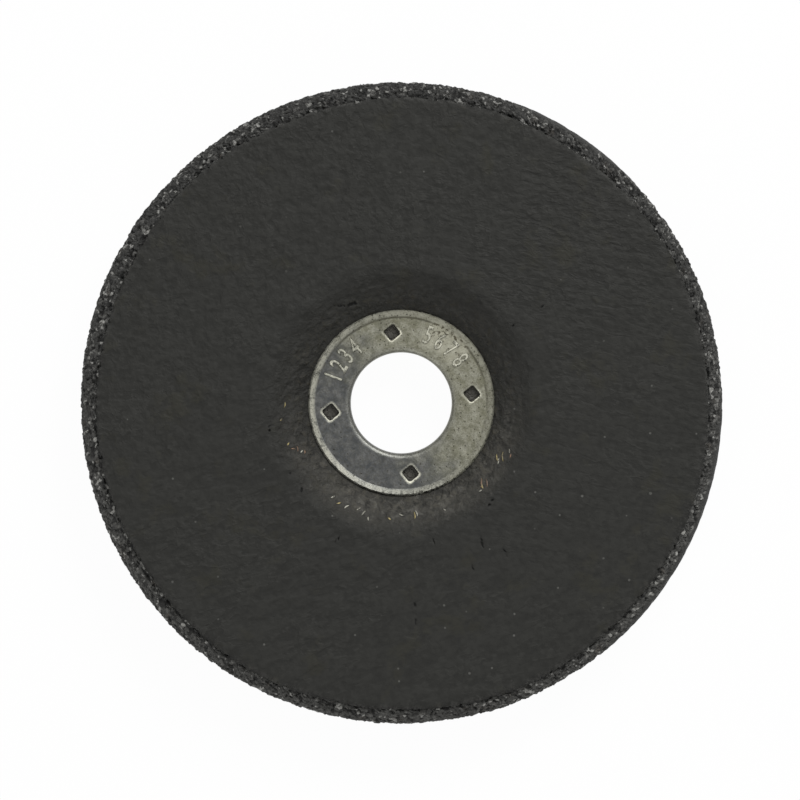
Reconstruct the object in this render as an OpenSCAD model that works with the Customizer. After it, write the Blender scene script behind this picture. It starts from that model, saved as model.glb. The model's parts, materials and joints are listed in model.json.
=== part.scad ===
// Depressed-centre grinding disc: a moulded body of resin-bonded grain, a thin dark facing
// on its working side, and a pressed steel ring that lines the bore.
// The back of the raised boss lies on z = 0, and the recessed working side looks up along +Z.

/* [Disc] */
// Diameter over the rough rim
disc_d = 101; // [90:0.5:125]
// Thickness of the disc, facing included
disc_t = 6; // [5:0.1:8]
// Depth of the recessed centre below the grinding face
dish_depth = 4.6; // [3.6:0.1:6]
// Slope of the wall around the recess, and of the steel lip that is turned up along its foot
wall_angle = 34; // [24:1:42]
// Radius at which the wall rolls over into the grinding face
brow_r = 4; // [2:0.1:7]
// How far the raised boss on the back reaches beyond the floor of the recess, on each side
boss_margin = 2.7; // [1.8:0.1:3.6]
// Radius of the curves at the edge and at the foot of the boss
boss_edge_r = 2.5; // [1:0.1:4]

/* [Rim] */
// Width of the band of bare grain between the facing and the edge
bare_band = 2.4; // [1.6:0.1:4]
// Drop of the worn shoulder from the facing to the edge
shoulder_drop = 2.2; // [1.2:0.1:3]
// Radius of the edge at the back
back_edge_r = 1.2; // [0.6:0.1:2]
// Depth of the roughness that the broken grain leaves
grain = 0.4; // [0.1:0.05:0.6]

/* [Facing] */
// Thickness of the resin-soaked facing
facing_t = 0.4; // [0.2:0.05:0.8]
// Depth of the frays along its cut edge
fray = 0.5; // [0.1:0.05:0.8]
// How far the facing was laid to the right of the centre
facing_off_x = 0.25; // [0:0.05:0.4]
// How far the facing was laid below the centre
facing_off_y = 0.2; // [0:0.05:0.4]

/* [Bush ring] */
// Diameter of the bore
bore_d = 16; // [14:0.1:17]
// Thickness of the steel
ring_t = 0.5; // [0.3:0.05:0.6]
// Width of the flat part of the flange
flange_w = 4.6; // [3.6:0.1:6]
// Width of the turned-up lip
lip_w = 1.1; // [0.9:0.05:1.6]
// Radius inside the fold of the lip
lip_fold_r = 0.3; // [0.1:0.05:0.5]
// Radius at which the flange rolls over into the collar
roll_r = 0.9; // [0.7:0.05:1.2]
// How far the foot of the collar stays short of the back of the boss
collar_short = 0.4; // [0.1:0.1:2]

/* [Pierced holes] */
// Number of pierced holes around the flange
hole_n = 4; // [3:1:6]
// Side of each pierced square hole
hole_w = 2.05; // [1.6:0.05:2.2]
// Radius of the corners of the pierced holes
hole_corner_r = 0.4; // [0.2:0.05:0.6]
// Width of the rolled edge around each pierced hole
hole_roll_w = 0.38; // [0.1:0.02:0.5]
// Turn of the first pierced hole from the X axis
hole_start = 7.4; // [0:0.1:90]
// Turn of each square about its own middle, against its radius
hole_turn = 31.6; // [0:0.1:90]
// Length of the prongs that are bent down into the grain
prong_l = 1.1; // [0.6:0.05:1.8]
// Thickness of the prongs
prong_t = 0.35; // [0.2:0.05:0.45]

/* [Fit] */
// Clearance between the steel and what it is pressed into
fit_gap = 0.05; // [0.02:0.01:0.15]

/* [Hidden] */
$fn = 96;
// How far a cut runs past what it cuts
past = 1;
eps = 0.01;
disc_r = disc_d / 2;
bore_r = bore_d / 2;
fold_x = bore_r + roll_r + flange_w;
ring_r = fold_x + lip_w;
// The floor ends where the lip is folded up, so that the lip lies along the foot of the wall
floor_r = fold_x + fit_gap / sin(wall_angle);
foot_r = lip_fold_r + ring_t;
body_t = disc_t - facing_t;
face_z = dish_depth + body_t;
boss_r = floor_r + boss_margin;
// The facing overhangs the firm core a little, over the broken grain below its edge
facing_r = disc_r - bare_band;
overhang = fray + facing_off_x + facing_off_y;
core_r = facing_r - overhang;
gap_under_facing = 0.1;
// The broken grain is rooted this far inside the core, a little above its flat back
root_w = 1.5;
root_lift = 0.15;
arc_steps = 8;

flange_z = disc_t;
flange_top = flange_z + ring_t;
hole_circle_r = bore_r + roll_r + flange_w / 2;
prong_base = hole_w - 1.2 * hole_corner_r;
body_bore_r = bore_r + ring_t + fit_gap;
facing_bore_r = bore_r + roll_r + fit_gap;

// Around the rim: sections, and rings of grain on each section
rim_n = 200;
rim_seed = 11;
fray_n = 260;
fray_seed = 5;

// An arc from one angle to another, in steps
function arc(cx, cy, rx, ry, from, to, steps) =
    [for (k = [0 : steps]) let(a = from + (to - from) * k / steps) [cx + rx * cos(a), cy + ry * sin(a)]];

// A sloping wall that leaves the level at (r, z) in one curve and levels out in another
function wall(r, z, low_r, high_r) = let(
    straight = (dish_depth - (low_r + high_r) * (1 - cos(wall_angle))) / tan(wall_angle),
    end_x = r + (low_r + high_r) * sin(wall_angle) + straight)
    concat(
        arc(r, z + low_r, low_r, low_r, -90, wall_angle - 90, arc_steps),
        arc(end_x, z + dish_depth - high_r, high_r, high_r, 90 + wall_angle, 90, arc_steps));

// The wall of the recess, from its floor up to the face
function recess_wall(z) = wall(floor_r, z, foot_r, brow_r);

function reversed(list) = [for (k = [len(list) - 1 : -1 : 0]) list[k]];

// A square with round corners
module round_square(side, corner) {
    square([side, side - 2 * corner], center = true);
    square([side - 2 * corner, side], center = true);
    for (x = [-1, 1], y = [-1, 1])
        translate([x, y] * (side / 2 - corner)) circle(corner, $fn = 32);
}

// The four prongs around one hole, seen from above, with a clearance around each
module prong_outline(gap) {
    for (k = [0 : 3])
        rotate(90 * k) translate([0, (hole_w + prong_t) / 2])
            square([prong_base + 2 * gap, prong_t + 2 * gap], center = true);
}

// Puts its children at each pierced hole, turned as the hole is
module at_holes() {
    for (k = [0 : hole_n - 1])
        rotate(hole_start + 360 * k / hole_n)
            translate([hole_circle_r, 0, 0]) rotate(hole_turn) children();
}

// The firm part of the body: hub, dished wall and flat annulus, up to the broken grain of the rim
module core() {
    back_r = disc_r - 0.8 * back_edge_r;
    rotate_extrude() polygon(concat(
        [[body_bore_r, 0]],
        wall(boss_r, 0, boss_edge_r, boss_edge_r),
        [[back_r, dish_depth], [back_r, dish_depth + back_edge_r],
         [core_r, dish_depth + 2 * back_edge_r], [core_r, face_z]],
        reversed(recess_wall(body_t)),
        [[body_bore_r, body_t]]));
}

// One section through the broken grain: round at the back, then a worn shoulder under the facing
function rim_section() = let(top = face_z - gap_under_facing,
                             low = dish_depth + root_lift,
                             root_r = core_r - root_w)
    concat(
        [[root_r, low + back_edge_r]],
        arc(disc_r - back_edge_r, low + back_edge_r, back_edge_r, back_edge_r, -90, 0, 3),
        arc(core_r, top - shoulder_drop, disc_r - core_r, shoulder_drop, 0, 90, 6),
        [[root_r, top - grain]]);

// The grain is broken out towards the root of the section by up to its depth, and never proud of it
module broken_grain() {
    section = rim_section();
    m = len(section);
    root = (section[0] + section[m - 1]) / 2;
    depth = rands(0, 1, rim_n * m, rim_seed);
    side = rands(-0.3, 0.3, rim_n * m, rim_seed + 1);
    points = [for (i = [0 : rim_n - 1], j = [0 : m - 1]) let(
        k = i * m + j,
        hidden = j == 0 || j == m - 1,
        inward = (root - section[j]) / norm(root - section[j]),
        p = section[j] + (hidden ? 0 : grain * pow(depth[k], 1.5)) * inward,
        a = 360 * (i + (hidden ? 0 : side[k])) / rim_n)
        [p.x * cos(a), p.x * sin(a), p.y]];
    function at(i, j) = (i % rim_n) * m + j % m;
    // Each patch is split along one diagonal or the other in turn, so that no spiral shows
    faces = [for (i = [0 : rim_n - 1], j = [0 : m - 1]) let(
        p = at(i, j), q = at(i, j + 1), s = at(i + 1, j), t = at(i + 1, j + 1))
        each (i + j) % 2 == 0 ? [[p, q, s], [s, q, t]] : [[p, q, t], [p, t, s]]];
    polyhedron(points, faces, convexity = 6);
}

// Moulded body with the slots that the prongs bit into it
module abrasive_body() {
    color("#3b3b38") difference() {
        union() {
            core();
            broken_grain();
        }
        translate([0, 0, flange_z - prong_l - fit_gap])
            linear_extrude(prong_l) at_holes() prong_outline(fit_gap);
    }
}

// The cut edge of the facing, frayed inwards
function frayed_edge() = let(u = rands(0, 1, fray_n, fray_seed))
    [for (k = [0 : fray_n - 1]) let(
        a = 360 * k / fray_n,
        r = facing_r - fray * (0.25 + 0.25 * sin(7 * a + 40) + 0.5 * pow(u[k], 2)))
        [r * cos(a), r * sin(a)]];

// Thin facing that follows the grinding face down into the recess, open at the pierced holes
module facing() {
    color("#343433") difference() {
        intersection() {
            rotate_extrude() polygon(concat(
                [[facing_bore_r, body_t]],
                recess_wall(body_t),
                [[disc_r, face_z], [disc_r, face_z + facing_t]],
                reversed(recess_wall(disc_t)),
                [[facing_bore_r, disc_t]]));
            translate([facing_off_x, -facing_off_y, 0])
                linear_extrude(face_z + past) polygon(frayed_edge());
        }
        linear_extrude(disc_t + past) at_holes() {
            square(hole_w, center = true);
            prong_outline(fit_gap);
        }
    }
}

// Section through the pressed ring: collar, rolled edge, flat flange and turned-up lip.
// The side that shows has depth 0, and the side pressed into the grain has depth ring_t.
function ring_side(depth) = let(
    fold_z = flange_top + lip_fold_r,
    fold_r = lip_fold_r + depth,
    run = (lip_w - foot_r * sin(wall_angle)) / cos(wall_angle),
    turned = arc(fold_x, fold_z, fold_r, fold_r, -90, wall_angle - 90, arc_steps))
    concat(
        [[bore_r + depth, collar_short]],
        arc(bore_r + roll_r, flange_top - roll_r, roll_r - depth, roll_r - depth, 180, 90, arc_steps),
        turned,
        [turned[arc_steps] + run * [cos(wall_angle), sin(wall_angle)]]);

// One prong: a pointed tongue that was the metal of the hole, folded down at its edge
module prong() {
    side = prong_base / 2;
    translate([0, -hole_w / 2, flange_z]) rotate([90, 0, 0])
        linear_extrude(prong_t)
            polygon([[-side, ring_t / 2], [side, ring_t / 2], [side, 0], [0, -prong_l], [-side, 0]]);
}

// Pressed steel ring with pierced holes, whose prongs hold it in the grain
module bush_ring() {
    color("#8d8d84") {
        difference() {
            rotate_extrude() polygon(concat(ring_side(0), reversed(ring_side(ring_t))));
            translate([0, 0, flange_z - past])
                linear_extrude(ring_t + 2 * past) at_holes() round_square(hole_w, hole_corner_r);
            at_holes() translate([0, 0, flange_top - ring_t / 2])
                linear_extrude(ring_t / 2 + eps, scale = 1 + 2 * hole_roll_w / hole_w)
                    round_square(hole_w, hole_corner_r);
        }
        at_holes() for (k = [0 : 3]) rotate(90 * k) prong();
    }
}

abrasive_body();
facing();
bush_ring();
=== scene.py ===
import json
import math
import random

import bpy
from mathutils import Matrix, Vector, kdtree, noise


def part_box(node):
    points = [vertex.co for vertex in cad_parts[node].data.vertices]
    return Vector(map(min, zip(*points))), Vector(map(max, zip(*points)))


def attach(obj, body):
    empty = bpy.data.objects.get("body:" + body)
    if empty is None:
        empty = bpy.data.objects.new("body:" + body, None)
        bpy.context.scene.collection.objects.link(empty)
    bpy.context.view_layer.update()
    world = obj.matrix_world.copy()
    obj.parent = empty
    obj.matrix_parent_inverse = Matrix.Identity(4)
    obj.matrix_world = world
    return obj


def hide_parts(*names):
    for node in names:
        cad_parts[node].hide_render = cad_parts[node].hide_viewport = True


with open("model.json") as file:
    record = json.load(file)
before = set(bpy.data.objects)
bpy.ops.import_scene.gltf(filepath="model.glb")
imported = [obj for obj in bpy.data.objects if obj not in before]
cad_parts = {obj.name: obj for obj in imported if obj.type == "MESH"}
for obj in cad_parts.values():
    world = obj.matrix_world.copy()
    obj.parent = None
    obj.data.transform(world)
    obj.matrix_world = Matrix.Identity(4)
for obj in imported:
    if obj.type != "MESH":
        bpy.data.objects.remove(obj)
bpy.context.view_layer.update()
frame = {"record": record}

mm = 0.001

# The view: the photograph looks square on to the working side, from far enough to show no
# perspective. The disc lies a little right of and below the middle of the picture.
photo_px = 800
rim_px = 642.6
disc_d = 101 * mm
disc_at_px = (401.3, 402.9)
disc_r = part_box("abrasive_body")[1].x
per_px = disc_d / rim_px
rim_z = 7.5 * mm
eye_height = 700 * mm
sensor_mm = 36

bpy.ops.object.select_all(action="DESELECT")
bpy.ops.object.camera_add(rotation=(0, 0, 0), location=(
    (photo_px / 2 - disc_at_px[0]) * per_px, (disc_at_px[1] - photo_px / 2) * per_px, rim_z + eye_height))
camera = bpy.context.object
camera.data.sensor_width = sensor_mm
camera.data.lens = sensor_mm * eye_height / (photo_px * per_px)
bpy.context.scene.camera = camera
bpy.context.scene.view_settings.view_transform = "Standard"


# The light: one soft lamp from the upper right, as the bright lower left of the ring's lip and
# of the hub's wall shows, with a pale room all round that fills the shadows.
def aim(place, target):
    return (target - place).to_track_quat("-Z", "Y").to_euler()


def lamp(name, azimuth, elevation, distance, size, level):
    """A square soft lamp that gives a level surface at the disc this level of light, where 1 is white."""
    a, e = math.radians(azimuth), math.radians(elevation)
    place = distance * Vector((math.cos(a) * math.cos(e), math.sin(a) * math.cos(e), math.sin(e)))
    bpy.ops.object.light_add(type="AREA", location=place, rotation=aim(place, Vector((0, 0, 0))))
    light = bpy.context.object
    light.name = name
    light.data.shape = "SQUARE"
    light.data.size = size
    light.data.energy = level * math.pi ** 2 * distance ** 2 / math.sin(e)


lamp("key", 64, 38, 0.8, 0.36, 0.50)
lamp("fill", 240, 24, 0.9, 0.60, 0.09)


class Socket:
    """An output of a shader node. Arithmetic on it adds Math nodes."""

    def __init__(self, finish, out):
        self.finish, self.out = finish, out

    def math(self, operation, *others, clamp=False):
        settings = {"operation": operation, "use_clamp": clamp}
        return self.finish.node("ShaderNodeMath", settings, [self, *others])

    def __add__(self, other):
        return self.math("ADD", other)

    def __sub__(self, other):
        return self.math("SUBTRACT", other)

    def __rsub__(self, other):
        return self.finish.node("ShaderNodeMath", {"operation": "SUBTRACT"}, [other, self])

    def __mul__(self, other):
        return self.math("MULTIPLY", other)

    def __abs__(self):
        return self.math("ABSOLUTE")

    def ramp(self, low, high):
        """0 where this is under low and 1 where it is over high, with a smooth rise between."""
        settings = {"interpolation_type": "SMOOTHSTEP"}
        limits = {"Value": self, "From Min": low, "From Max": high}
        return self.finish.node("ShaderNodeMapRange", settings, limits)

    def near(self, middle, width):
        """1 at this middle value, down to 0 at this width from it."""
        return 1 - abs(self - middle).ramp(0, width)


class Finish:
    """A material, or the world, and its nodes."""

    def __init__(self, name, owner=None):
        self.owner = owner or bpy.data.materials.new(name)
        self.owner.use_nodes = True
        self.nodes, self.links = self.owner.node_tree.nodes, self.owner.node_tree.links
        self.nodes.clear()

    def node(self, kind, settings=None, inputs=(), output=0):
        made = self.nodes.new(kind)
        for key, value in (settings or {}).items():
            setattr(made, key, value)
        for key, value in inputs.items() if isinstance(inputs, dict) else enumerate(inputs):
            if isinstance(value, Socket):
                self.links.new(value.out, made.inputs[key])
            else:
                made.inputs[key].default_value = value
        return None if output is None else Socket(self, made.outputs[output])

    def place_mm(self):
        """The place on the piece, in millimetres."""
        place = self.node("ShaderNodeTexCoord", output="Object")
        return self.node("ShaderNodeVectorMath", {"operation": "SCALE"}, {0: place, "Scale": 1 / mm})

    def flat_parts(self, place):
        """The X and Y of a place, and its distance from the Z axis."""
        x, y = (self.node("ShaderNodeSeparateXYZ", inputs=[place], output=part) for part in ("X", "Y"))
        flat_place = self.node("ShaderNodeCombineXYZ", inputs=[x, y, 0.0])
        far = self.node("ShaderNodeVectorMath", {"operation": "LENGTH"}, [flat_place], output="Value")
        return x, y, far

    def stretched(self, place, angle, along, across):
        """The place measured along and across a direction, each divided by its own length."""
        return self.node("ShaderNodeMapping", {"vector_type": "TEXTURE"}, {
            "Vector": place, "Rotation": (0, 0, math.radians(angle)), "Scale": (along, across, 1)})

    def noise(self, place, scale, detail, roughness=0.5, distortion=0.0):
        return self.node("ShaderNodeTexNoise", inputs={
            "Vector": place, "Scale": scale, "Detail": detail,
            "Roughness": roughness, "Distortion": distortion})

    def cells(self, place, scale, dimensions="3D"):
        """Distance from the nearest cell's middle, and that cell's own chance value."""
        settings, cell = {"voronoi_dimensions": dimensions}, {"Vector": place, "Scale": scale}
        tint = self.node("ShaderNodeTexVoronoi", settings, cell, output="Color")
        return (self.node("ShaderNodeTexVoronoi", settings, cell, output="Distance"),
                self.node("ShaderNodeSeparateColor", inputs=[tint]))

    def mix(self, share, first, second):
        """Two colours, mixed by a share."""
        return self.node("ShaderNodeMix", {"data_type": "RGBA"}, {0: share, 6: first, 7: second}, output=2)

    def attribute(self, name):
        return self.node("ShaderNodeAttribute", {"attribute_name": name}, output="Fac")

    def bump(self, height, distance, strength):
        inputs = {"Height": height, "Distance": distance, "Strength": strength}
        return self.node("ShaderNodeBump", inputs=inputs)

    def surface(self, kind="ShaderNodeOutputMaterial", shader=None, **inputs):
        """Ends the material in the shader that is given, or in a Principled one with these inputs."""
        if shader is None:
            named = {key.replace("_", " "): value for key, value in inputs.items()}
            shader = self.node("ShaderNodeBsdfPrincipled", inputs=named)
        self.node(kind, inputs={"Surface": shader}, output=None)
        return self.owner


def grey(level):
    return (level, level, level, 1)


# The room is white to the camera and to reflections, and softer as a light.
room_light = 0.40
room = Finish("room", bpy.context.scene.world or bpy.data.worlds.new("room"))
bpy.context.scene.world = room.owner


def seen_directly(finish):
    """1 for rays from the camera, and through reflections and glass."""
    ways = [finish.node("ShaderNodeLightPath", output=way)
            for way in ("Is Camera Ray", "Is Glossy Ray", "Is Transmission Ray")]
    return (ways[0] + ways[1]).math("ADD", ways[2], clamp=True)


room_level = seen_directly(room) * (1 - room_light) + room_light
room.surface("ShaderNodeOutputWorld", room.node(
    "ShaderNodeBackground", inputs={"Color": grey(1), "Strength": room_level}))

# The floor: pale and plain. Where it is seen, it keeps most of its own white, with a faint shadow.
floor_size = 3.0
floor_own_white = 0.97
bpy.ops.mesh.primitive_plane_add(size=floor_size, location=(0, 0, 0))
floor = bpy.context.object
floor.name = "floor"
floor_finish = Finish("floor_white")
floor_lit = floor_finish.node("ShaderNodeBsdfDiffuse", inputs={"Color": grey(0.9)})
floor_white = floor_finish.node("ShaderNodeEmission", inputs={"Color": grey(1), "Strength": 1.0})
floor_share = seen_directly(floor_finish) * floor_own_white
floor.data.materials.append(floor_finish.surface(
    shader=floor_finish.node("ShaderNodeMixShader", inputs=[floor_share, floor_lit, floor_white])))

# The steel ring: thin tinned sheet, pressed in one stroke into a flat flange with a turned-up
# lip and a rolled edge that runs down the bore as a collar. Pressed into the grain, it lines the bore.
bore_r = next(m["dims"]["r_mm"] for m in frame["record"]["mounts"] if m["name"] == "arbor_bore") * mm
flange_top = next(m["pos_m"][2] for m in frame["record"]["mounts"] if m["name"] == "nut_seat")
collar_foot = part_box("bush_ring")[0].z
ring_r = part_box("bush_ring")[1].x
steel_t = 0.5 * mm
roll_r = 0.9 * mm
lip_w = 1.1 * mm
fold_x = ring_r - lip_w
lip_fold_r = 0.3 * mm
foot_r = lip_fold_r + steel_t
wall_angle = math.radians(34)
ring_steps = 640


def arc(x, z, radius, start, end, steps):
    """Points from one angle to another, in degrees, about a centre."""
    angles = [math.radians(start + (end - start) * k / steps) for k in range(steps + 1)]
    return [(x + radius * math.cos(a), z + radius * math.sin(a)) for a in angles]


def spaced(start, end, step):
    """Points along a straight line, no further apart than the step, without its start."""
    n = max(1, math.ceil(math.dist(start, end) / step))
    across, up = end[0] - start[0], end[1] - start[1]
    return [(start[0] + across * k / n, start[1] + up * k / n) for k in range(1, n + 1)]


def only(obj):
    """Selects this object alone and makes it the active one."""
    bpy.ops.object.select_all(action="DESELECT")
    obj.select_set(True)
    bpy.context.view_layer.objects.active = obj


def spun(name, outline, steps):
    """A closed outline of (radius, height) points, spun once round the Z axis."""
    bpy.ops.object.select_all(action="DESELECT")
    bpy.ops.mesh.primitive_circle_add(vertices=len(outline))
    obj = bpy.context.object
    obj.name = name
    for vertex, (r, z) in zip(obj.data.vertices, outline):
        vertex.co = (r, 0, z)
    turned = obj.modifiers.new("turned", "SCREW")
    turned.angle = math.tau
    turned.steps = turned.render_steps = steps
    turned.use_merge_vertices = True
    turned.merge_threshold = 0.002 * mm
    turned.use_smooth_shade = False
    bpy.ops.object.modifier_apply(modifier=turned.name)
    bpy.ops.object.mode_set(mode="EDIT")
    bpy.ops.mesh.select_all(action="SELECT")
    bpy.ops.mesh.normals_make_consistent(inside=False)
    bpy.ops.object.mode_set(mode="OBJECT")
    return obj


def flat(vertex):
    """Distance from the Z axis and the angle about it."""
    return math.hypot(vertex.co.x, vertex.co.y), math.atan2(vertex.co.y, vertex.co.x)


def between(value, low, high):
    """0 under low, 1 over high."""
    return min(1.0, max(0.0, (value - low) / (high - low)))


def smoothed(obj, angle):
    """Shades an object smooth, apart from edges sharper than this angle."""
    only(obj)
    bpy.ops.object.shade_smooth_by_angle(angle=math.radians(angle))


def finished(piece, finish, slot, *nodes):
    """Gives a piece its material and its body, and says which CAD nodes it replaces. The slot is not used.
    """
    piece.data.materials.clear()
    piece.data.materials.append(finish)
    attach(piece, "root")
    if nodes:
        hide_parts(*nodes)


# The lip is a little wider than in the CAD, because nicks are cut into its rounded edge.
nick_room = 0.08 * mm
edge_out = 0.05 * mm
edge_up = 0.035 * mm
roll_steps = 12
flange_row = 0.55 * mm
fold_steps = 8
lip_row = 0.3 * mm


def ring_side(depth):
    """One side of the sheet, from the collar's foot up and out to the lip's edge."""
    turn = math.degrees(wall_angle)
    run = (lip_w - foot_r * math.sin(wall_angle)) / math.cos(wall_angle) + nick_room
    points = [(bore_r + depth, collar_foot)]
    points += arc(bore_r + roll_r, flange_top - roll_r, roll_r - depth, 180, 90, roll_steps)
    points += spaced(points[-1], (fold_x, flange_top - depth), flange_row)[:-1]
    points += arc(fold_x, flange_top + lip_fold_r, lip_fold_r + depth, -90, turn - 90, fold_steps)
    edge = (points[-1][0] + run * math.cos(wall_angle), points[-1][1] + run * math.sin(wall_angle))
    return points + spaced(points[-1], edge, lip_row)


upper, under = ring_side(0), ring_side(steel_t)
lip_edge = ((upper[-1][0] + under[-1][0]) / 2 + edge_out, (upper[-1][1] + under[-1][1]) / 2 + edge_up)
ring = spun("steel_ring", upper + [lip_edge] + under[::-1], ring_steps)

# Four square holes are pierced through the flange. Their edges roll over into the hole.
hole_n = 4
hole_sides = 4
hole_w = 2.0 * mm
hole_corner_r = 0.4 * mm
hole_circle_r = (bore_r + roll_r + fold_x) / 2
# In degrees: where the first hole lies, and how far each hole is turned about its own middle
hole_start = 7.4
hole_turn = 31.6
punch_depth = 1.2 * mm
# Each step of a hole's mouth: how far it rises and how far it flares. The last one clears the sheet.
hole_mouth = [(0.22 * mm, 0.10 * mm), (0.10 * mm, 0.32 * mm), (0.5 * mm, 0)]
hole_places = [Matrix.Rotation(math.radians(hole_start + 360 * k / hole_n), 4, "Z")
               @ Matrix.Translation((hole_circle_r, 0, 0))
               @ Matrix.Rotation(math.radians(hole_turn), 4, "Z") for k in range(hole_n)]


def select_faces(obj, test):
    """In edit mode, selects the faces whose centre and normal pass the test."""
    bpy.ops.mesh.select_all(action="DESELECT")
    bpy.ops.mesh.select_mode(type="FACE")
    bpy.ops.object.mode_set(mode="OBJECT")
    for face in obj.data.polygons:
        face.select = test(face.center, face.normal)
    bpy.ops.object.mode_set(mode="EDIT")


def select_edges(obj, test):
    """In edit mode, selects the edges whose two ends pass the test."""
    bpy.ops.mesh.select_all(action="DESELECT")
    bpy.ops.mesh.select_mode(type="EDGE")
    bpy.ops.object.mode_set(mode="OBJECT")
    points = [v.co for v in obj.data.vertices]
    for edge in obj.data.edges:
        edge.select = test(points[edge.vertices[0]], points[edge.vertices[1]])
    bpy.ops.object.mode_set(mode="EDIT")


def joined(name, objects):
    """Joins the objects to one of this name."""
    bpy.ops.object.select_all(action="DESELECT")
    for obj in objects:
        obj.select_set(True)
    bpy.context.view_layer.objects.active = objects[0]
    bpy.ops.object.join()
    objects[0].name = name
    return objects[0]


def copied(obj, matrix):
    """A copy with its own mesh, put in place by a matrix on its points."""
    other = obj.copy()
    other.data = obj.data.copy()
    bpy.context.collection.objects.link(other)
    other.data.transform(matrix)
    return other


def cut_out(obj, cutter):
    """Takes the cutter's shape out of an object."""
    only(obj)
    cut = obj.modifiers.new("cut", "BOOLEAN")
    cut.operation = "DIFFERENCE"
    cut.solver = "MANIFOLD"
    cut.object = cutter
    bpy.ops.object.modifier_apply(modifier=cut.name)


def punch(width, low, high, mouth=()):
    """A square bar with round corners, which flares step by step at its mouth."""
    bpy.ops.object.select_all(action="DESELECT")
    bpy.ops.mesh.primitive_cube_add(size=1)
    bar = bpy.context.object
    for v in bar.data.vertices:
        v.co = (v.co.x * width, v.co.y * width, high if v.co.z > 0 else low)
    bpy.ops.object.mode_set(mode="EDIT")
    select_edges(bar, lambda a, b: abs(a.z - b.z) > 0.1 * mm)
    bpy.ops.mesh.bevel(offset=hole_corner_r, segments=5, affect="EDGES")
    select_faces(bar, lambda centre, normal: normal.z > 0.9)
    for rise, flare in mouth:
        bpy.ops.mesh.extrude_region_move(TRANSFORM_OT_translate={"value": (0, 0, rise)})
        grown = 1 + 2 * flare / width
        bpy.ops.transform.resize(value=(grown, grown, 1), center_override=(0, 0, 0))
        width *= grown
    bpy.ops.object.mode_set(mode="OBJECT")
    return bar


def at_holes(name, obj):
    """Copies of an object at each hole, joined. The object itself is used up."""
    copies = joined(name, [copied(obj, place) for place in hole_places])
    bpy.data.objects.remove(obj)
    return copies


mouth_h = hole_mouth[0][0] + hole_mouth[1][0]
punches = at_holes("punches", punch(hole_w, flange_top - punch_depth, flange_top - mouth_h, hole_mouth))
cut_out(ring, punches)
bpy.data.objects.remove(punches)

# The lip is nicked all along its edge, most of all at the lower right, and the flange isn't quite
# flat. The sheet is marked bright on the lip, most of all on its left, and round the holes, most
# of all at their lower sides: rubbed wear, and a painted highlight where these face the lamp. Where
# the lamp makes the lip glare, less of it is painted.
nicks_at = math.radians(-70)
nick_w = 0.34 * mm
nick_depth = 0.30 * mm
flange_zone = 1.2 * mm
uneven_rise = 0.02 * mm
uneven_w = 5 * mm
lip_lit_at = math.radians(160)
glare_at = math.radians(243)
mouth_bright_w = 1.4 * mm
hole_middles = [place.to_translation().xy for place in hole_places]
wear_and_highlight = ring.data.attributes.new("worn", "FLOAT", "POINT")
for v in ring.data.vertices:
    r, a = flat(v)
    if r > fold_x + 0.35 * mm and v.co.z > flange_top:
        place = Vector((math.cos(a), math.sin(a), 0)) * r / nick_w
        most = max(0.0, math.cos(a - nicks_at)) ** 4
        bite = max(0.0, noise.noise(place) - 0.22 + 0.25 * most) * (0.8 + most)
        v.co.xy *= 1 - nick_depth * bite * between(r, fold_x + 0.3 * mm, ring_r) / r
    if r > bore_r + steel_t and v.co.z > flange_top - flange_zone:
        v.co.z += uneven_rise * noise.noise(v.co / uneven_w)
    if -mouth_h < v.co.z - flange_top < -0.03 * mm:
        off = v.co.xy - min(hole_middles, key=lambda middle: (v.co.xy - middle).length)
        if off.length < 0.9 * hole_w:
            lower_side = between(off.x * 0.45 - off.y, -mm, mm)
            chance = noise.noise(v.co / mouth_bright_w)
            wear_and_highlight.data[v.index].value = 1.0 + 1.1 * lower_side + 0.5 * chance
    if r > fold_x and v.co.z > flange_top:
        left = max(0.0, math.cos(a - lip_lit_at))
        glare = max(0.0, math.cos(a - glare_at)) ** 8
        on_lip = between(r, fold_x, fold_x + 0.3 * mm)
        wear_and_highlight.data[v.index].value = on_lip * (0.62 + 0.38 * left - 0.25 * glare)

# The metal of each hole is folded down as four pointed prongs that grip the grain.
prong_l = 1.1 * mm
prong_t = 0.35 * mm
prong_w = hole_w - 1.2 * hole_corner_r
prong_tip = 0.04
flange_under = flange_top - steel_t


def prong():
    """One prong, at the lower side of a hole round the Z axis."""
    bpy.ops.object.select_all(action="DESELECT")
    bpy.ops.mesh.primitive_cube_add(size=1)
    made = bpy.context.object
    for v in made.data.vertices:
        down = v.co.z < 0
        v.co = (v.co.x * prong_w * (prong_tip if down else 1), v.co.y * prong_t - (hole_w + prong_t) / 2,
                flange_under + (-prong_l if down else steel_t / 2))
    return made


hole_prongs = [prong() for k in range(hole_sides)]
for k, made in enumerate(hole_prongs):
    made.data.transform(Matrix.Rotation(math.radians(360 / hole_sides * k), 4, "Z"))
ring = joined("steel_ring", [ring, at_holes("prongs", joined("prongs", hole_prongs))])
smoothed(ring, 38)

# Tinned steel, dull and stained: greyer and bluer at the lower left, and paler and drier at the
# upper right, the lamp's side, which is partly stain and partly painted light and shade. Dark specks
# of resin and dirt lie on it, and a painted shade lies in the fold of the lip, most of all at its upper
# side.
steel = Finish("tinned_steel")
where = steel.place_mm()
x, y, from_axis = steel.flat_parts(where)
cloud = steel.noise(where, 0.35, 4, 0.6)
patch = steel.noise(where, 0.75, 5, 0.68, 0.25)
grit = steel.noise(where, 5.0, 3, 0.75)
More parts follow.
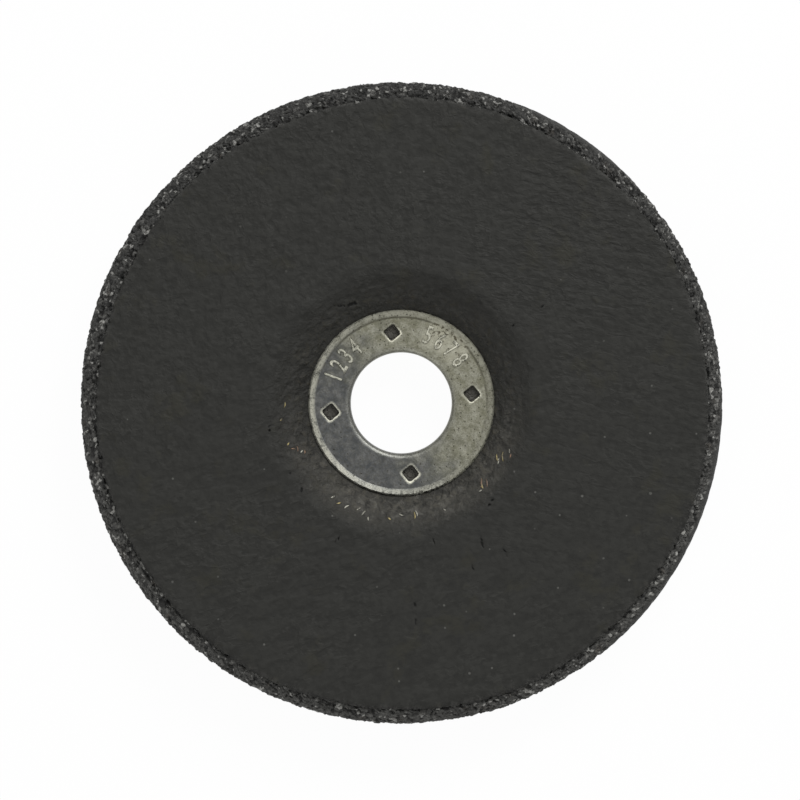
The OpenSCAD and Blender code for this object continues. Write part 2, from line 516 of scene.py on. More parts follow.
# Partly stain, partly painted light: paler towards the lamp at the upper right, darker away from it.
dry_and_lamp_lit = (x * 0.055 + y * 0.04 + cloud * 1.5).ramp(0.20, 1.25)
stained_and_shaded = steel.mix(patch.ramp(0.33, 0.68), (0.064, 0.068, 0.072, 1), (0.130, 0.131, 0.128, 1))
pale_and_lit = steel.mix(patch.ramp(0.33, 0.70), (0.165, 0.162, 0.118, 1), (0.285, 0.282, 0.230, 1))
tin = steel.mix(dry_and_lamp_lit, stained_and_shaded, pale_and_lit)
tin = steel.mix((1 - grit.ramp(0.30, 0.64)) * 0.55, tin, (0.050, 0.048, 0.034, 1))
by_bore = from_axis.near(bore_r / mm + 0.2, 0.8) * grit.ramp(0.3, 0.6)
tin = steel.mix(by_bore * 0.45, tin, (0.34, 0.34, 0.30, 1))
worn = steel.attribute("worn")
# Rubbed wear and painted highlight: the marked places are painted bright.
rubbed_and_lit = worn * (grit + patch * 0.7).ramp(0.60, 0.95) * (1 - dry_and_lamp_lit * 0.35)
tin = steel.mix(rubbed_and_lit * 0.95, tin, (0.43, 0.425, 0.36, 1))
# Painted highlight: the lower sides of the holes and the tops of the digits are painted near white.
tin = steel.mix((worn - 1.1) * (grit + 0.4), tin, (0.86, 0.85, 0.76, 1))
grime = worn * (1 - (grit + patch * 0.3).ramp(0.46, 0.58))
tin = steel.mix(grime * 0.7, tin, (0.040, 0.037, 0.024, 1))
# Painted shade in the fold of the lip, most of all at its upper side, and along the feet of the digits.
fold_shade = from_axis.near(fold_x / mm - 0.02, 0.30) * (patch + y * 0.022 + x * 0.008).ramp(0.45, 0.78)
fold_and_foot_shade = (fold_shade * 0.75).math("MAXIMUM", steel.attribute("dirt") * 0.85)
tin = steel.mix(fold_and_foot_shade, tin, (0.030, 0.028, 0.018, 1))
speck_off, speck_chance = steel.cells(where, 0.95, "2D")
speck = 1 - (speck_off + grit * 0.16).ramp(0.13, 0.22)
speck = speck * (speck_chance + dry_and_lamp_lit * 0.52 + cloud * 0.5).ramp(1.08, 1.18)
speck = speck * from_axis.ramp(bore_r / mm + 0.4, bore_r / mm + 0.7)
tin = steel.mix(speck * 0.85, tin, (0.024, 0.022, 0.016, 1))

# The sheet is paler round this place in the right group of digits, with blots of dirt.
pale_at = (6.9, 9.4)
off_x, off_y = x - pale_at[0], y - pale_at[1]
by_digits = (1 - (off_x * off_x + off_y * off_y) * 0.05).ramp(0.0, 0.6) * (1 - worn.ramp(0.2, 0.8))
by_digits = by_digits * from_axis.ramp(9.0, 10.4)
tin = steel.mix(by_digits * 0.40, tin, (0.42, 0.41, 0.33, 1))
blot = (steel.noise(where, 2.1, 3, 0.6) + (from_axis - 11.5) * 0.03).ramp(0.57, 0.66)
tin = steel.mix(by_digits * blot * 0.85, tin, (0.040, 0.034, 0.020, 1))
dents = steel.bump(cloud * 1.0 + patch * 0.9 + grit * 0.6 - speck * 0.5 - fold_shade * 0.4, 0.06 * mm, 0.7)
roughness = dry_and_lamp_lit * 0.10 + grit * 0.15 + worn * 0.24 + 0.36
steel_finish = steel.surface(Base_Color=tin, Metallic=1.0, Roughness=roughness, Normal=dents)
finished(ring, steel_finish, "pressed_steel", "bush_ring")

# The digits: two groups of plain digits on the flange, their tops outwards, read clockwise. They are
# embossed in the tinned sheet itself, by the stroke that presses the ring.
digit_h = 3.1 * mm
digit_narrow = 0.62
digit_circle_r = 11.5 * mm
digit_rise = 0.22 * mm
# How far the strokes are thinned and then rounded out, as shares of the font's size
digit_thinned = 0.022
digit_bevel = 0.052
# Each group with the angle of its first digit and the turn to the next one, in degrees
digit_groups = [("1234", 159.0, 9.7), ("5678", 68.5, 10.8)]


def digit(character, angle):
    """One digit as a thin rounded ridge, centred on its own place on the flange."""
    bpy.ops.object.select_all(action="DESELECT")
    bpy.ops.object.text_add()
    text = bpy.context.object
    text.data.body = character
    text.data.size = 1.0
    text.data.offset = -digit_thinned
    text.data.bevel_depth = digit_bevel
    text.data.bevel_resolution = 2
    text.data.resolution_u = 6
    bpy.ops.object.convert(target="MESH")
    made = bpy.context.object
    points = [v.co.copy() for v in made.data.vertices]
    low = Vector([min(p[k] for p in points) for k in range(3)])
    high = Vector([max(p[k] for p in points) for k in range(3)])
    tall = digit_h / (high.y - low.y)
    middle = (low + high) / 2
    size = Matrix.Diagonal((tall * digit_narrow, tall, 2 * digit_rise / (high.z - low.z), 1))
    turn = Matrix.Rotation(math.radians(angle - 90), 4, "Z")
    out = Matrix.Translation((0, digit_circle_r, flange_top))
    made.data.transform(turn @ out @ size @ Matrix.Translation(-middle))
    return made


digits = joined("embossed_digits", [digit(character, start - k * turn)
                                    for word, start, turn in digit_groups
                                    for k, character in enumerate(word)])

# Their tops are marked bright, rubbed wear with a painted highlight, most of all in the right group on the
# lamp's side, and painted shade lies along their feet.
wear_and_highlight_left = 1.15
wear_and_highlight_right = 1.45
wear_and_highlight = digits.data.attributes.new("worn", "FLOAT", "POINT")
dirt = digits.data.attributes.new("dirt", "FLOAT", "POINT")
for v in digits.data.vertices:
    up = between(v.co.z, flange_top, flange_top + digit_rise)
    uneven = 0.4 * noise.noise(v.co / (1.1 * mm))
    wear_and_highlight.data[v.index].value = up * ((wear_and_highlight_right if v.co.x > 0 else wear_and_highlight_left) + uneven)
    dirt.data[v.index].value = 1 - between(up, 0.05, 0.6)
smoothed(digits, 50)
finished(digits, steel_finish, "pressed_steel")

# The moulded body: grain of aluminium oxide in dark resin, hot-pressed round a woven glass mesh,
# whose threads show as a shallow pattern on the back. The steel ring lines its bore.
face_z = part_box("abrasive_body")[1].z
body_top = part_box("facing")[0].z
facing_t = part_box("facing")[1].z - face_z
dish = face_z - body_top
fit_gap = 0.05 * mm
floor_r = fold_x + fit_gap / math.sin(wall_angle)
brow_r = 4 * mm
boss_r = floor_r + 2.7 * mm
boss_edge_r = 2.5 * mm
body_bore_r = bore_r + steel_t + fit_gap
back_edge_r = 1.2 * mm
core_top_r = disc_r - 3.35 * mm
core_back_r = disc_r - 0.8 * back_edge_r
body_steps = 700


def wall(r, z, low_r, high_r, row):
    """A sloping wall that leaves the level at (r, z) in one curve and levels out in another."""
    turn = math.degrees(wall_angle)
    straight = (dish - (low_r + high_r) * (1 - math.cos(wall_angle))) / math.tan(wall_angle)
    end_r = r + (low_r + high_r) * math.sin(wall_angle) + straight
    low_steps, high_steps = (max(3, math.ceil(bend_r * wall_angle / row)) for bend_r in (low_r, high_r))
    foot = arc(r, z + low_r, low_r, -90, turn - 90, low_steps)
    brow = arc(end_r, z + dish - high_r, high_r, 90 + turn, 90, high_steps)
    return foot + spaced(foot[-1], brow[0], row)[:-1] + brow


back_row = 0.42 * mm
# Rows this long leave a straight stretch in one piece, where the facing hides it
hidden_row = 8 * mm
body_outline = [(body_bore_r, 0.0)]
body_outline += spaced(body_outline[-1], (boss_r, 0.0), back_row)
body_outline += wall(boss_r, 0.0, boss_edge_r, boss_edge_r, back_row)[1:]
body_outline += spaced(body_outline[-1], (core_back_r, dish), back_row)
body_outline += [(core_back_r, dish + back_edge_r), (core_top_r, dish + 2 * back_edge_r)]
body_outline += [(core_top_r, face_z)] + wall(floor_r, body_top, foot_r, brow_r, hidden_row)[::-1]
body_outline += [(body_bore_r, body_top)]
body = spun("moulded_body", body_outline, body_steps)

# The prongs bit four slots into the body round each hole, and the facing is pierced there too.
slot_over = 1 * mm
slot_size = Matrix.Diagonal((prong_w + 2 * fit_gap, prong_t + 2 * fit_gap, prong_l + 2 * slot_over, 1))
slot_z = flange_under - prong_l - fit_gap + prong_l / 2 + slot_over
slot_place = Matrix.Translation((0, (hole_w + prong_t) / 2, slot_z))
slot_bars = []
for k in range(hole_sides):
    bpy.ops.object.select_all(action="DESELECT")
    bpy.ops.mesh.primitive_cube_add(size=1)
    bar = bpy.context.object
    turn = Matrix.Rotation(math.radians(360 / hole_sides * k), 4, "Z")
    bar.data.transform(turn @ slot_place @ slot_size)
    slot_bars.append(bar)
slots = at_holes("slots", joined("slots", slot_bars))
cut_out(body, slots)

thread_pitch = 4.6 * mm
thread_w = 1.0 * mm
thread_turn = math.radians(17)
thread_rise = 0.14 * mm
sway = 0.06
sway_w = 9 * mm
pit_w = 0.9 * mm
back_pit_depth = 0.05 * mm


def thread_height(x, y):
    """Height of the woven threads, from 0 to 1. Each passes over and under the others in turn."""
    u = (x * math.cos(thread_turn) + y * math.sin(thread_turn)) / thread_pitch
    v = (y * math.cos(thread_turn) - x * math.sin(thread_turn)) / thread_pitch
    u += sway * noise.noise(Vector((x, y, 0)) / sway_w)
    v += sway * noise.noise(Vector((y, x, 7 * mm)) / sway_w)
    height = 0.0
    for across, along, odd in ((u, v, 0), (v, u, 1)):
        line = round(across)
        off = abs(across - line) * thread_pitch / (thread_w / 2)
        if off < 1:
            over = 0.72 + 0.28 * math.cos(math.pi * (along + line + odd))
            height = max(height, over * (1 - off ** 2) ** 0.6)
    return height


threads = body.data.attributes.new("thread", "FLOAT", "POINT")
for v in body.data.vertices:
    r = flat(v)[0]
    if v.co.z > dish + 0.01 * mm or not bore_r + 1.2 * mm < r < core_back_r - 0.1 * mm:
        continue
    woven = thread_height(v.co.x, v.co.y)
    threads.data[v.index].value = woven
    pitted = abs(noise.fractal(v.co / pit_w, 1.0, 2.0, 3))
    v.co.z += back_pit_depth * pitted - min(thread_rise * woven, v.co.z)
smoothed(body, 40)

# Grains of many greys with dark gaps between them, and the threads browner. On the working side,
# seen only through the pierced holes, the grain is paler.
back = Finish("bonded_grain_back")
where = back.place_mm()
thread = back.attribute("thread")
grain_scale = 1.35
grain_chance = back.cells(where, grain_scale)[1]
grain_gap = back.node("ShaderNodeTexVoronoi", {"feature": "DISTANCE_TO_EDGE"},
                      {"Vector": where, "Scale": grain_scale})
fine = back.noise(where, 3.5, 4, 0.65)
tone = back.mix(grain_chance * fine, (0.018, 0.018, 0.0165, 1), (0.075, 0.074, 0.069, 1))
tone = back.mix((1 - grain_gap.ramp(0.0, 0.12)) * 0.6, tone, (0.010, 0.010, 0.009, 1))
tone = back.mix(thread * 0.55, tone, (0.062, 0.057, 0.043, 1))
height = back.node("ShaderNodeSeparateXYZ", inputs=[where], output="Z")
in_holes = height.ramp(dish / mm + 0.3, dish / mm + 0.6) * fine.ramp(0.2, 0.5)
tone = back.mix(in_holes * 0.9, tone, (0.068, 0.064, 0.054, 1))
pressed = back.bump(grain_gap.ramp(0.0, 0.2) * (1 - thread * 0.7) + fine * 0.8, 0.12 * mm, 0.8)
body_finish = back.surface(
    Base_Color=tone, Roughness=0.78 - fine * 0.3, Specular_IOR_Level=0.35, Normal=pressed)
finished(body, body_finish, "bonded_grain", "abrasive_body")

# The rim: the same body where its edge was trimmed after pressing. The grain is broken out there,
# with bright broken facets and black pits, and two stretches at the right keep a smooth resin skin.
grain_w = 0.60 * mm
grain_depth = 0.40 * mm
shoulder_row = 0.16 * mm
side_row = 0.27 * mm
rim_steps = 1450
gap_under_facing = 0.1 * mm
shoulder_drop = 2.2 * mm
root_w = 1.5 * mm
rim_lift = 0.04 * mm
grain_seed = 7
# Each grain takes this share of a square of its own width
grain_share = 0.7
crevice_w = 0.13 * mm
# The middle and the half width of each stretch of skin, in degrees, and its reach in from the rim
skin_stretches = [(57, 15), (335, 34)]
skin_reach = 0.75 * mm


def ellipse(x, z, across, up, start, end, step):
    """Points along a part of an ellipse, about a step apart."""
    n = math.ceil(math.radians(abs(end - start)) * (across + up) / 2 / step)
    angles = [math.radians(start + (end - start) * k / n) for k in range(n + 1)]
    return [(x + across * math.cos(a), z + up * math.sin(a)) for a in angles]


shoulder_top = face_z - gap_under_facing
rim_low = dish + rim_lift
shoulder_low = shoulder_top - shoulder_drop
shoulder_w = disc_r - core_top_r
rim_surface = ellipse(
    disc_r - back_edge_r, rim_low + back_edge_r, back_edge_r, back_edge_r, -90, 0, side_row)
rim_surface += spaced(rim_surface[-1], (disc_r, shoulder_low), side_row)
rim_surface += ellipse(core_top_r, shoulder_low, shoulder_w, shoulder_drop, 0, 90, shoulder_row)[1:]
root_r = core_top_r - root_w
rim_outline = [(root_r, rim_low + back_edge_r)] + rim_surface + [(root_r, shoulder_top - 0.4 * mm)]
rim = spun("broken_rim", rim_outline, rim_steps)

draw = random.Random(grain_seed)
around = sum(math.dist(a, b) for a, b in zip(rim_surface, rim_surface[1:]))
grain_n = int(math.tau * disc_r * around / (grain_share * grain_w ** 2))
grains = kdtree.KDTree(grain_n)
grain_facts = []
for k in range(grain_n):
    step = draw.randrange(len(rim_surface) - 1)
    (r, z), (r2, z2) = rim_surface[step], rim_surface[step + 1]
    share = draw.random()
    if draw.random() > math.dist((r, z), (r2, z2)) / side_row:
        step = draw.randrange(len(rim_surface) - 1)
        (r, z), (r2, z2) = rim_surface[step], rim_surface[step + 1]
    r = r + (r2 - r) * share + draw.uniform(-0.14, 0.08) * mm
    z = z + (z2 - z) * share
    a = draw.uniform(0, math.tau)
    place = Vector((r * math.cos(a), r * math.sin(a), z + draw.uniform(-0.12, 0.12) * mm))
    tilt = Vector([draw.gauss(0, 0.38) for axis in range(3)])
    grain_facts.append((place, tilt, draw.random() ** 1.5, draw.random()))
    grains.insert(place, k)
grains.balance()


def resin_skin(angle, r):
    """1 where the smooth skin of resin covers the outside of the rim, seen from above."""
    covered = 0.0
    for middle, half in skin_stretches:
        off = abs((math.degrees(angle) - middle + 180) % 360 - 180)
        covered = max(covered, 1 - off / half)
    reach = min(1.0, 1.8 * covered) * skin_reach
    edge = disc_r - reach + 0.22 * mm * noise.noise(Vector((math.cos(angle), math.sin(angle), 0)) * 30)
    return between(r, edge, edge + 0.25 * mm) * between(reach, 0, 0.4 * mm)


section_middle = Vector((core_top_r, (rim_low + shoulder_top) / 2))
facing_edge_r = disc_r - 2.4 * mm
shade = rim.data.attributes.new("shade", "FLOAT", "POINT")
pit_shade = rim.data.attributes.new("pit", "FLOAT", "POINT")
skin = rim.data.attributes.new("skin", "FLOAT", "POINT")
for v in rim.data.vertices:
    r, a = flat(v)
    if r < core_top_r - 0.3 * mm:
        continue
    nearest, second = grains.find_n(v.co, 2)
    place, tilt, sunk, own_shade = grain_facts[nearest[1]]
    crevice = 1 - min(1.0, (second[2] - nearest[2]) / crevice_w)
    smooth = resin_skin(a, r)
    facet = tilt.dot(v.co - place)
    torn = noise.noise(v.co / (1.2 * mm)) + 0.6 * noise.noise(v.co / (0.6 * mm))
    by_facing = max(0.0, 1 - abs(r - facing_edge_r - 0.1 * mm) / (0.45 * mm))
    gap = by_facing * (v.co.z > shoulder_low) * max(0.0, torn - 0.05)
    drop = grain_depth * (0.7 * sunk ** 1.5 + 0.30 * crevice + 1.6 * gap) - facet * 0.55
    drop = max(-0.06 * mm, drop + 0.04 * mm * noise.noise(v.co / (0.25 * mm))) * (1 - 0.9 * smooth)
    wave = 0.07 * mm * (1 + noise.noise(v.co / (6 * mm)))
    wave += 0.34 * mm * max(0.0, noise.noise(v.co / (1.6 * mm)))
    wave *= between(r, facing_edge_r - 0.4 * mm, facing_edge_r + mm) * (1 - 0.6 * smooth)
    inward = (section_middle - Vector((r, v.co.z))).normalized() * (drop + wave)
    v.co.xy *= (r + inward.x) / r
    v.co.z += inward.y
    shade.data[v.index].value = own_shade
    # Painted shade: sunk grains, the crevices between grains and the gap by the facing's edge are marked
    # to be painted dark.
    pit_shade.data[v.index].value = max(sunk ** 2.2, crevice * 0.8, min(1.0, 4 * gap))
    skin.data[v.index].value = smooth

# Dark crumbs, some of them pale or glinting, with a few rusty patches, and black pits that are
# painted shade, as are the crevices between grains and the gap by the facing's edge. The grain is
# painted paler at the lower side of the disc and darker at the upper one, which the lamp lights
# more: painted light and shade.
broken = Finish("bonded_grain_rim")
where = broken.place_mm()
own_shade, pit, smooth = (broken.attribute(name) for name in ("shade", "pit", "skin"))
fine = broken.noise(where, 4.5, 4, 0.72)
crumb_off, crumb_chance = broken.cells(where, 2.1)
height_up = broken.flat_parts(where)[1]
glint = (own_shade + fine * 0.35).ramp(0.94, 1.08) * crumb_chance.ramp(0.10, 0.45)
tone = broken.mix(fine.ramp(0.32, 0.68), (0.018, 0.018, 0.017, 1), (0.051, 0.0505, 0.047, 1))
tone = broken.mix(crumb_chance.ramp(0.70, 0.92) * 0.65, tone, (0.135, 0.133, 0.124, 1))
# Painted light: paler towards the lower side, which the lamp lights less.
tone = broken.mix((height_up * -0.01 + 0.5).ramp(0.1, 0.9) * 0.38, tone, (0.110, 0.109, 0.101, 1))
rusty = broken.noise(where, 0.4, 2).ramp(0.60, 0.72) * fine.ramp(0.35, 0.65)
tone = broken.mix(rusty * 0.5, tone, (0.072, 0.056, 0.040, 1))
tone = broken.mix(glint * 0.9, tone, (0.33, 0.327, 0.305, 1))
# Painted shade: darker towards the upper side, which the lamp lights more.
tone = broken.mix(height_up.ramp(-10, 50) * 0.20, tone, (0.010, 0.010, 0.009, 1))
# Painted shade: the pits, crevices and gap are painted near black.
tone = broken.mix(pit.ramp(0.30, 0.85) * 0.9, tone, (0.004, 0.004, 0.0035, 1))
tone = broken.mix(smooth * 0.85, tone, (0.032, 0.032, 0.030, 1))
crumbs = broken.bump(fine + crumb_chance * 0.6 - crumb_off * 1.2, 0.14 * mm, 0.9)
rim_finish = broken.surface(
    Base_Color=tone, Roughness=0.66 - glint * 0.3, Specular_IOR_Level=0.28, Normal=crumbs)
finished(rim, rim_finish, "bonded_grain")

# The facing: a thin sheet soaked in dark resin and pressed on the grain. It follows the recess
# down to the steel ring, where it is wrinkled and cracked, and its cut edge is frayed.
facing_off = Vector((0.25, -0.2)) * mm
fray = 0.5 * mm
facing_bore_r = bore_r + roll_r + fit_gap
facing_steps = 1060
hub_row = 0.27 * mm
inner_row = 0.50 * mm
outer_row = 1.4 * mm
inner_zone_r = 35 * mm
under_row = 14 * mm
edge_row = 0.35 * mm
edge_zone = 1.4 * mm

top_z = face_z + facing_t
facing_outline = [(facing_bore_r, body_top)] + wall(floor_r, body_top, foot_r, brow_r, hidden_row)
facing_outline += spaced(facing_outline[-1], (facing_edge_r, face_z), under_row)
facing_outline += [(facing_edge_r, face_z + 0.6 * facing_t), (facing_edge_r - 0.08 * mm, top_z)]
facing_outline += spaced(facing_outline[-1], (facing_edge_r - edge_zone, top_z), edge_row)
facing_outline += spaced(facing_outline[-1], (inner_zone_r, top_z), outer_row)
recess = wall(floor_r, body_top + facing_t, foot_r, brow_r, hub_row)[::-1]
facing_outline += spaced(facing_outline[-1], recess[0], inner_row)[:-1] + recess
facing_outline += [(facing_bore_r, body_top + facing_t)]
facing = spun("dark_facing", facing_outline, facing_steps)
cut_out(facing, at_holes("punches", punch(hole_w, body_top - 0.5 * mm, flange_top)))
cut_out(facing, slots)
for cutter in (bpy.data.objects["punches"], slots):
    bpy.data.objects.remove(cutter)

# The cracks: each from one pixel of the photograph to another, with its width in millimetres
crack_px = [
    ((334, 306), (346, 306), 0.12), ((349, 305), (355, 303), 0.34), ((348, 269), (355, 267), 0.10),
    ((270, 425), (270, 431), 0.13), ((291, 473), (293, 467), 0.22), ((302, 486), (302, 491), 0.18),
    ((336, 540), (340, 537), 0.12), ((434, 543), (433, 539), 0.15), ((481, 537), (482, 546), 0.17),
    ((504, 550), (506, 555), 0.16), ((472, 565), (473, 568), 0.16), ((412, 602), (415, 604), 0.18),
    ((416, 618), (416, 621), 0.16), ((417, 626), (416, 629), 0.20), ((513, 325), (513, 328), 0.12),
    ((520, 356), (520, 359), 0.18), ((541, 308), (542, 306), 0.15), ((488, 506), (493, 498), 0.12)]
crack_depth = 0.30 * mm
crack_zone = 3 * mm


def from_px(px):
    """A pixel of the photograph as a place on the disc."""
    return Vector(((px[0] - disc_at_px[0]) * per_px, (disc_at_px[1] - px[1]) * per_px))


cracks = [(from_px(a), from_px(b), w * mm) for a, b, w in crack_px]


def crack_at(p):
    """From 0 to 1, how deep in a crack this place is. Cracks have ragged sides."""
    deepest = 0.0
    for a, b, w in cracks:
        if (p - a).length_squared > crack_zone ** 2:
            continue
        along = between((p - a).dot(b - a), 0, (b - a).length_squared)
        off = (p - a - (b - a) * along).length
        ragged = w * (1.1 + 1.6 * noise.noise(p.to_3d() / (0.35 * mm)))
        deepest = max(deepest, 1 - off / max(ragged, 0.02 * mm))
    return deepest


crack = facing.data.attributes.new("crack", "FLOAT", "POINT")
edge_wear = facing.data.attributes.new("edge_wear", "FLOAT", "POINT")
frayed_from = facing_edge_r - 1.3 * mm
swell_n = 7
swell_start = math.radians(40)
for v in facing.data.vertices:
    r, a = flat(v)
    if r > frayed_from:
        place = Vector((math.cos(a), math.sin(a), 0)) * r
        ragged = noise.noise(place / (0.8 * mm)) + 0.6 * noise.noise(place / (0.42 * mm))
        swell = math.sin(swell_n * a + swell_start)
        back_off = fray * (0.22 + 0.25 * swell + 1.1 * max(0.0, ragged))
        share = (r - frayed_from) / (facing_edge_r - frayed_from)
        v.co.xy = v.co.xy * (1 - back_off * share / r) + facing_off * share
        edge_wear.data[v.index].value = between(share, 0.25, 1)
        if v.co.z > face_z + 0.5 * facing_t:
            v.co.z -= (0.26 * share ** 3 + 0.12 * share * abs(noise.noise(v.co / (0.6 * mm)))) * mm
    on_top = v.co.z > body_top + 0.7 * facing_t and not face_z - mm < v.co.z < face_z + 0.1 * mm
    if on_top and r > ring_r + 0.02 * mm:
        by_ring = between(r, ring_r, ring_r + 0.8 * mm)
        by_ring *= 1 - between(r, floor_r + 5.5 * mm, floor_r + 9.5 * mm)
        broad = noise.fractal(v.co / (3.2 * mm), 1.0, 2.0, 2)
        crumple = noise.fractal(v.co / (1.9 * mm), 0.7, 2.0, 3)
        deep = crack_at(v.co.xy) if r < inner_zone_r else 0.0
        brow = between(r, ring_r, floor_r + 5 * mm) * (1 - between(r, floor_r + 8 * mm, floor_r + 13 * mm))
        v.co.z += (0.03 * broad + 0.12 * brow * broad + 0.20 * by_ring * crumple) * mm - crack_depth * deep
        crack.data[v.index].value = deep
smoothed(facing, 50)

# Dark resin over fine creases, which rise to the right at the lower left of the sheet and fall at
# its upper right. It is rubbed pale and brown round the hub, and painted paler still below it,
# where the wall faces the lamp: painted light. The hollows of its relief there are painted dark and
# the cracks near black, both painted shade. The creases of the lower right are faint, with dark dust
# between them.
sheet = Finish("resin_facing")
where = sheet.place_mm()
x, y, from_axis = sheet.flat_parts(where)
slow = sheet.noise(where, 0.06, 2)
rising = sheet.noise(sheet.stretched(where, 20, 3.6, 1.5), 1.0, 2.5, 0.5, 0.5)
falling = sheet.noise(sheet.stretched(where, -12, 2.3, 1.0), 1.0, 2.5, 0.5, 0.4)
falls = (slow + y * 0.005 + x * 0.003).ramp(0.42, 0.62)
streaks = falling * falls + rising * (1 - falls)
even = sheet.noise(where, 0.72, 3, 0.5, 0.3)
upper_left = (y * 0.013 - x * 0.013 + slow).ramp(0.60, 1.05)
streaks = even * upper_left + streaks * (1 - upper_left)
lower_right = (x * 0.014 - y * 0.014 + slow).ramp(0.55, 1.15)
fibres = sheet.noise(where, 1.1, 3, 0.5, 0.15)
creased = sheet.noise(where, 0.13, 2).ramp(0.40, 0.62)
dust = sheet.noise(where, 6.0, 3, 0.7)
folds = (1 - abs(streaks - 0.5).ramp(0.0, 0.06)) * (creased * 0.8 + 0.2) * fibres.ramp(0.38, 0.56)
worn = sheet.attribute("edge_wear")
mottle = sheet.noise(where, 0.9, 4, 0.65, 0.8)
near_hub = (from_axis + mottle * 5 - 2.5).near(16.5, 5.0)
crack_shade = sheet.attribute("crack").ramp(0.05, 0.55)
tone = sheet.mix(fibres.ramp(0.3, 0.7) * 0.5 + streaks.ramp(0.35, 0.65) * 0.5,
                 (0.0203, 0.0203, 0.0184, 1), (0.0282, 0.0282, 0.0255, 1))
tone = sheet.mix(folds * 0.42, tone, (0.0400, 0.0400, 0.0365, 1))
olive = sheet.noise(where, 0.16, 3, 0.6)
tone = sheet.mix((olive + fibres * 0.2).ramp(0.66, 0.80) * 0.5, tone, (0.0300, 0.0290, 0.0215, 1))
# Painted light: the lower side of the hub's wall, which faces the lamp, is painted paler.
lit_below = (x * 0.006 - y * 0.062).ramp(-0.25, 1.0)
clouds = sheet.noise(where, 0.25, 3, 0.6).ramp(0.36, 0.60)
pale_spots = sheet.noise(where, 0.8, 2, 0.5, 0.4).ramp(0.56, 0.66)
lumps = sheet.noise(where, 0.24, 2, 0.5)
tone = sheet.mix(near_hub * 0.25, tone, (0.038, 0.037, 0.033, 1))
rubbed_and_lit = near_hub * lit_below
tone = sheet.mix(rubbed_and_lit * mottle.ramp(0.25, 0.72) * (clouds * 0.5 + 0.5), tone, (0.088, 0.084, 0.073, 1))
tone = sheet.mix(rubbed_and_lit * pale_spots * 0.35, tone, (0.150, 0.145, 0.130, 1))
tone = sheet.mix(near_hub * mottle.ramp(0.50, 0.72) * 0.40, tone, (0.056, 0.049, 0.032, 1))
# Painted shade in the hollows of the relief round the hub.
hollow_shade = near_hub * (1 - (fibres + mottle * 0.4).ramp(0.46, 0.57))
tone = sheet.mix(hollow_shade * 0.45, tone, (0.008, 0.008, 0.007, 1))
fleck_off, fleck_chance = sheet.cells(where, 0.28, "2D")
fleck = 1 - (fleck_off + fibres * 0.10).ramp(0.072, 0.110)
fleck = fleck * (fleck_chance + lower_right * 0.12).ramp(0.93, 1.0)
tone = sheet.mix(fleck * 0.7, tone, (0.13, 0.13, 0.12, 1))
dark_dust = lower_right * (1 - (dust + fibres * 0.3).ramp(0.50, 0.56))
tone = sheet.mix(dark_dust * 0.45, tone, (0.011, 0.011, 0.010, 1))
pale_edge = worn * (dust * 0.6 + fibres * 0.6).ramp(0.55, 0.72)
tone = sheet.mix(pale_edge * 0.6, tone, (0.075, 0.074, 0.069, 1))
tone = sheet.mix(worn * (1 - dust.ramp(0.30, 0.48)) * 0.8, tone, (0.006, 0.006, 0.0055, 1))
# Painted shade: the cracks are painted near black.
tone = sheet.mix(crack_shade, tone, (0.004, 0.004, 0.0035, 1))
relief = (streaks * 2.0 + fibres * (creased * 0.5 + 0.7) + folds * 0.2) * (1 - lower_right * 0.45)
relief = relief + fibres * near_hub * 1.4 + dust * (worn * 0.7 + 0.10)
relief = relief + lumps * (1 - lower_right * 0.7) * 2.2 + near_hub * mottle * 2.0
wrinkles = sheet.bump(relief, 0.26 * mm, 0.85)
facing_finish = sheet.surface(
    Base_Color=tone, Roughness=0.72 - fibres * 0.14, Specular_IOR_Level=0.16, Normal=wrinkles)
finished(facing, facing_finish, "dark_facing", "facing")

# The glass fibres: stray ends of the mesh that show through the worn facing around the hub. They
# are short golden, rust-coloured and white splinters that lie on the wall of the recess.
fibre_seed = 23
fibre_d = 0.17 * mm
fibre_bend = 0.12
fibre_lift = 0.03 * mm
above_disc = 20 * mm
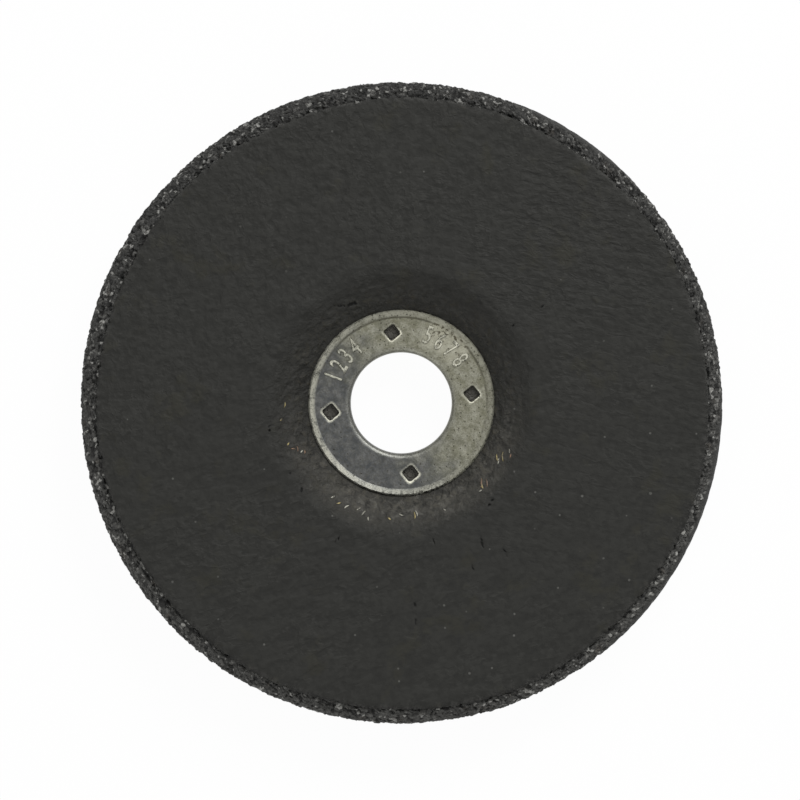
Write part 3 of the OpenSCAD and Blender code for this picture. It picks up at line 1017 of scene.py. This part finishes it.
# Angle round the disc, distance from its centre in pixels, lean from the radius, length in mm, colour
fibre_places = [
    (-24, 118, -60, 0.7, "white"), (-26, 121, -75, 0.8, "rust"), (-28, 114, -62, 1.5, "gold"),
    (-30, 110, -50, 1.2, "gold"), (-31, 113, -70, 0.9, "white"), (-43, 117, -42, 1.3, "rust"),
    (-45, 113, -50, 1.5, "rust"), (-46, 116, -30, 0.9, "gold"), (-48, 118, 80, 0.5, "white"),
    (-68, 115, 30, 0.4, "white"), (-82, 111, 12, 1.0, "white"), (-83, 113, 0, 1.1, "gold"),
    (-90, 112, 70, 0.8, "white"), (-96, 116, 60, 0.6, "gold"), (-106, 120, 20, 0.7, "white"),
    (-109, 116, -20, 1.0, "white"), (-112, 114, -40, 0.9, "white"), (-118, 117, -30, 0.9, "white"),
    (-122, 118, -45, 0.8, "gold"), (-126, 116, -30, 0.7, "white"), (-153, 108, 60, 0.7, "rust"),
    (-154, 111, 20, 0.7, "white"), (-156, 113, 75, 0.9, "rust"), (-157, 117, -30, 0.7, "rust"),
    (-160, 120, 45, 0.6, "gold"), (-179, 116, 80, 0.9, "gold"), (-172, 121, 40, 0.5, "gold")]
fibre_colours = {
    "gold": (0.42, 0.34, 0.14, 1), "rust": (0.22, 0.13, 0.08, 1), "white": (0.48, 0.47, 0.40, 1)}
draw = random.Random(fibre_seed)


def facing_z(place):
    """Height of the facing at this flat place."""
    above = Vector((place.x, place.y, above_disc))
    return facing.ray_cast(above, Vector((0, 0, -1)))[1].z


def splinter(angle, distance_px, lean, length):
    """One flat splinter, bent to the wall that it lies on."""
    bpy.ops.object.select_all(action="DESELECT")
    bpy.ops.mesh.primitive_cylinder_add(vertices=6, radius=0.5, depth=1.0)
    made = bpy.context.object
    bpy.ops.object.mode_set(mode="EDIT")
    for cut_z in (-0.25, 0.0, 0.25):
        bpy.ops.mesh.select_all(action="SELECT")
        bpy.ops.mesh.bisect(plane_co=(0, 0, cut_z), plane_no=(0, 0, 1))
    bpy.ops.object.mode_set(mode="OBJECT")
    a, along = math.radians(angle), math.radians(angle + lean)
    centre = Vector((math.cos(a), math.sin(a))) * distance_px * per_px
    heading = Vector((math.cos(along), math.sin(along)))
    side = Vector((-math.sin(along), math.cos(along)))
    bend = draw.uniform(-fibre_bend, fibre_bend) * length * mm
    for v in made.data.vertices:
        s, across, up = 2 * v.co.z, v.co.x, v.co.y
        thin = (1 - 0.75 * s * s) * fibre_d
        flat_place = centre + heading * s * length * mm / 2 + side * (across * thin * 1.5 + bend * s * s)
        v.co = (*flat_place, facing_z(flat_place) + fibre_lift + up * thin)
    return made


for colour, tint in fibre_colours.items():
    glass = Finish("glass_fibre_" + colour)
    where = glass.place_mm()
    frayed = glass.noise(where, 2.5, 3, 0.6)
    tone = glass.mix(frayed.ramp(0.35, 0.7), tint, (0.05, 0.046, 0.036, 1))
    bundle = joined("glass_fibres_" + colour, [splinter(*p[:4]) for p in fibre_places if p[4] == colour])
    only(bundle)
    bpy.ops.object.shade_smooth()
    finished(bundle, glass.surface(Base_Color=tone, Roughness=frayed * 0.2 + 0.38), "bonded_grain")
